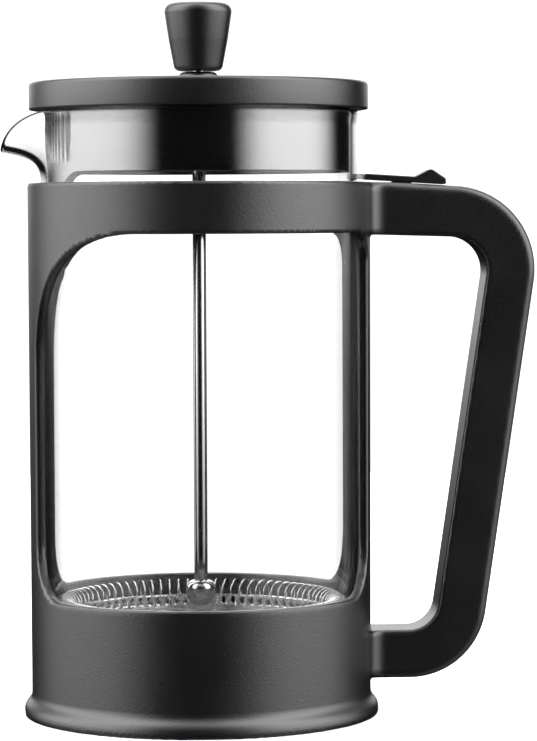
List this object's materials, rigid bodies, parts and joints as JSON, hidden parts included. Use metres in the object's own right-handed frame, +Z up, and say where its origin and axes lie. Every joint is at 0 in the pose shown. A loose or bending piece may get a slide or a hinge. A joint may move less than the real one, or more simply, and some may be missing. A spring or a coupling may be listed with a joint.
{
  "type": "french press",
  "caption": "French press with a glass beaker in a black plastic frame with integral handle, a lid with steel liner, and a plunger with a spring-edged filter.",
  "frame": {"origin": "centre of the frame's underside, on the surface that it stands on", "axes": "+Z up along the plunger rod, +X towards the handle, -X towards the pouring spout"},
  "size_m": [0.1629, 0.1086, 0.2173],
  "materials": {
    "black_plastic": "satin, fine grain",
    "glass": "clear, polished",
    "clear_pad": "translucent, soft",
    "polished_steel": "polished",
    "steel_sheet": "drawn, bright",
    "steel_mesh": "fine woven wire"
  },
  "bodies": {
    "frame": {"frame": "black_plastic"},
    "latch": {"latch_slider": "black_plastic", "latch_pad": "clear_pad"},
    "beaker": {"beaker": "glass"},
    "bush": {"rod_bush": "black_plastic", "bush_clip": "steel_sheet"},
    "lid": {"lid_cap": "black_plastic", "lid_liner": "steel_sheet"},
    "plunger": {"knob": "black_plastic", "knob_insert": "polished_steel", "plunger_rod": "polished_steel", "filter_hub": "polished_steel"},
    "filter": {"spring_plate": "steel_sheet", "coil_spring": "polished_steel", "mesh_filter": "steel_mesh", "mesh_eyelet": "steel_sheet", "cross_plate": "steel_sheet", "cross_plate_nut": "steel_sheet"}
  },
  "joints": [
    {"name": "latch_slide", "type": "slide", "parent": "frame", "child": "latch", "axis": [0.998, 0, -0.0628], "range_m": [0, 0.006]},
    {"name": "beaker_lift", "type": "slide", "parent": "frame", "child": "beaker", "axis": [0, 0, 1], "range_m": [0, 0.19]},
    {"name": "lid_lift", "type": "slide", "parent": "beaker", "child": "bush", "axis": [0, 0, 1], "range_m": [0, 0.18]},
    {"name": "lid_turn", "type": "hinge", "parent": "bush", "child": "lid", "pos_m": [0, 0, 0.19], "axis": [0, 0, 1], "continuous": true},
    {"name": "plunge", "type": "slide", "parent": "bush", "child": "plunger", "axis": [0, 0, 1], "range_m": [0, 0.118]},
    {"name": "filter_turn", "type": "hinge", "parent": "plunger", "child": "filter", "pos_m": [0, 0, 0.022], "axis": [0, 0, 1], "continuous": true}
  ]
}
